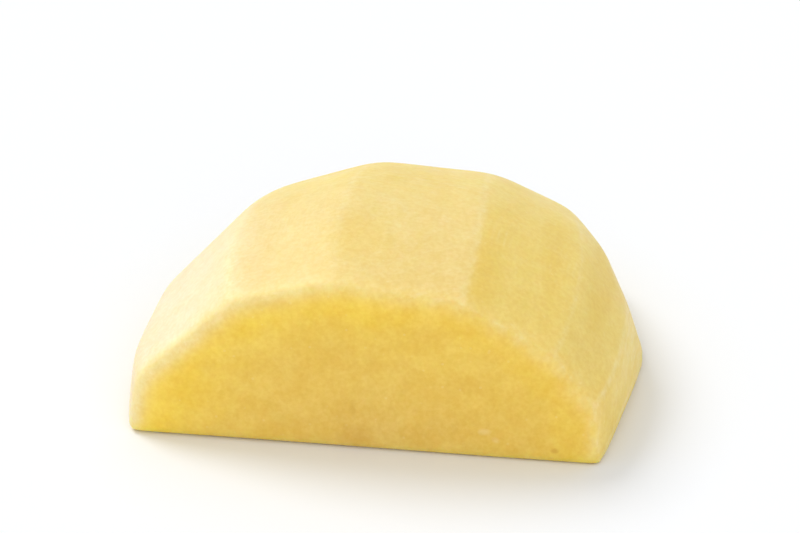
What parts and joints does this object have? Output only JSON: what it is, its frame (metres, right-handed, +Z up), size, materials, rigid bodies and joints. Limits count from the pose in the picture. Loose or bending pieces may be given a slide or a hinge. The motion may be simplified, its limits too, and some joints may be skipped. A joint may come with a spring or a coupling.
{
  "type": "peeled potato quarter",
  "caption": "Peeled raw potato chunk with a flat cut base, an upright cut face and a rounded outside peeled in long strips.",
  "frame": {"origin": "on the flat base, under the middle of the piece", "axes": "+Z up from the lengthwise cut it rests on; -Y out of the upright crosswise cut; +X along that cut's long edge"},
  "size_m": [0.0598, 0.055, 0.0233],
  "materials": {
    "potato_flesh": "raw potato flesh, damp and slightly translucent: cream on the peeled outside, fuller yellow on the cut faces"
  },
  "bodies": {
    "root": {"potato_quarter": "potato_flesh"}
  },
  "joints": []
}
